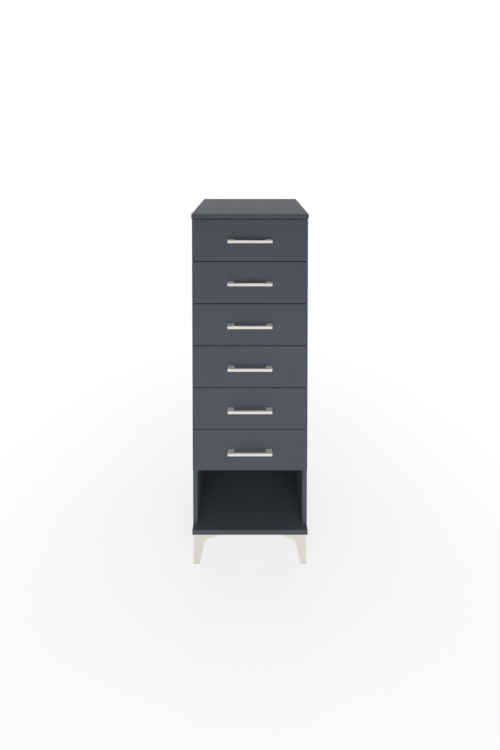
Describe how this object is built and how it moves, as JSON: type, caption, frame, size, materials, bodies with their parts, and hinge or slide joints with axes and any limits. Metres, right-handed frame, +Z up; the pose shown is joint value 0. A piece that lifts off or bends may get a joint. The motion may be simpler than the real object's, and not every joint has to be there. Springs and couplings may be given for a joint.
{
  "type": "drawer cabinet",
  "caption": "Tall narrow cabinet with a column of pull-out drawers over an open compartment, with bar handles and splayed metal corner legs.",
  "frame": {"origin": "on the floor, under the middle of the whole outline, handles included", "axes": "+Z up, the drawers face -Y and open along -Y, +X to the right as seen from the front"},
  "size_m": [0.45, 0.42, 1.376],
  "materials": {
    "board": "smooth dark grey melamine, satin",
    "drawer_board": "pale grey melamine, matt",
    "hardboard": "thin hardboard, raw brown outside and lacquered dark grey inside",
    "drawer_base": "thin lacquered hardboard, pale grey",
    "handle_metal": "satin warm nickel plating",
    "leg_metal": "satin warm silver coating",
    "fitting_metal": "zinc plated",
    "dowel_wood": "raw beech, fluted",
    "runner_plastic": "moulded off-white plastic",
    "glide_plastic": "moulded grey-beige plastic",
    "pad_rubber": "clear silicone"
  },
  "bodies": {
    "cabinet": {"top_panel": "board", "bottom_panel": "board", "left_side_panel": "board", "right_side_panel": "board", "divider_shelf": "board", "back_panel": "hardboard", "runner_strips": "runner_plastic", "bumper_pads": "pad_rubber", "cam_locks": "fitting_metal", "cam_bolts": "fitting_metal", "wood_dowels": "dowel_wood", "back_pins": "fitting_metal", "leg_glides": "glide_plastic", "leg_screws": "fitting_metal", "leg_front_left": "leg_metal", "leg_front_right": "leg_metal", "leg_back_left": "leg_metal", "leg_back_right": "leg_metal"},
    "drawer_1": {"drawer_1_front": "board", "drawer_1_handle": "handle_metal", "drawer_1_left_side": "drawer_board", "drawer_1_right_side": "drawer_board", "drawer_1_back": "drawer_board", "drawer_1_base": "drawer_base", "drawer_1_fittings": "fitting_metal"},
    "drawer_2": {"drawer_2_front": "board", "drawer_2_handle": "handle_metal", "drawer_2_left_side": "drawer_board", "drawer_2_right_side": "drawer_board", "drawer_2_back": "drawer_board", "drawer_2_base": "drawer_base", "drawer_2_fittings": "fitting_metal"},
    "drawer_3": {"drawer_3_front": "board", "drawer_3_handle": "handle_metal", "drawer_3_left_side": "drawer_board", "drawer_3_right_side": "drawer_board", "drawer_3_back": "drawer_board", "drawer_3_base": "drawer_base", "drawer_3_fittings": "fitting_metal"},
    "drawer_4": {"drawer_4_front": "board", "drawer_4_handle": "handle_metal", "drawer_4_left_side": "drawer_board", "drawer_4_right_side": "drawer_board", "drawer_4_back": "drawer_board", "drawer_4_base": "drawer_base", "drawer_4_fittings": "fitting_metal"},
    "drawer_5": {"drawer_5_front": "board", "drawer_5_handle": "handle_metal", "drawer_5_left_side": "drawer_board", "drawer_5_right_side": "drawer_board", "drawer_5_back": "drawer_board", "drawer_5_base": "drawer_base", "drawer_5_fittings": "fitting_metal"},
    "drawer_6": {"drawer_6_front": "board", "drawer_6_handle": "handle_metal", "drawer_6_left_side": "drawer_board", "drawer_6_right_side": "drawer_board", "drawer_6_back": "drawer_board", "drawer_6_base": "drawer_base", "drawer_6_fittings": "fitting_metal"}
  },
  "joints": [
    {"name": "drawer_1_slide", "type": "slide", "parent": "cabinet", "child": "drawer_1", "axis": [0, -1, 0], "range_m": [0, 0.26]},
    {"name": "drawer_2_slide", "type": "slide", "parent": "cabinet", "child": "drawer_2", "axis": [0, -1, 0], "range_m": [0, 0.26]},
    {"name": "drawer_3_slide", "type": "slide", "parent": "cabinet", "child": "drawer_3", "axis": [0, -1, 0], "range_m": [0, 0.26]},
    {"name": "drawer_4_slide", "type": "slide", "parent": "cabinet", "child": "drawer_4", "axis": [0, -1, 0], "range_m": [0, 0.26]},
    {"name": "drawer_5_slide", "type": "slide", "parent": "cabinet", "child": "drawer_5", "axis": [0, -1, 0], "range_m": [0, 0.26]},
    {"name": "drawer_6_slide", "type": "slide", "parent": "cabinet", "child": "drawer_6", "axis": [0, -1, 0], "range_m": [0, 0.26]}
  ]
}
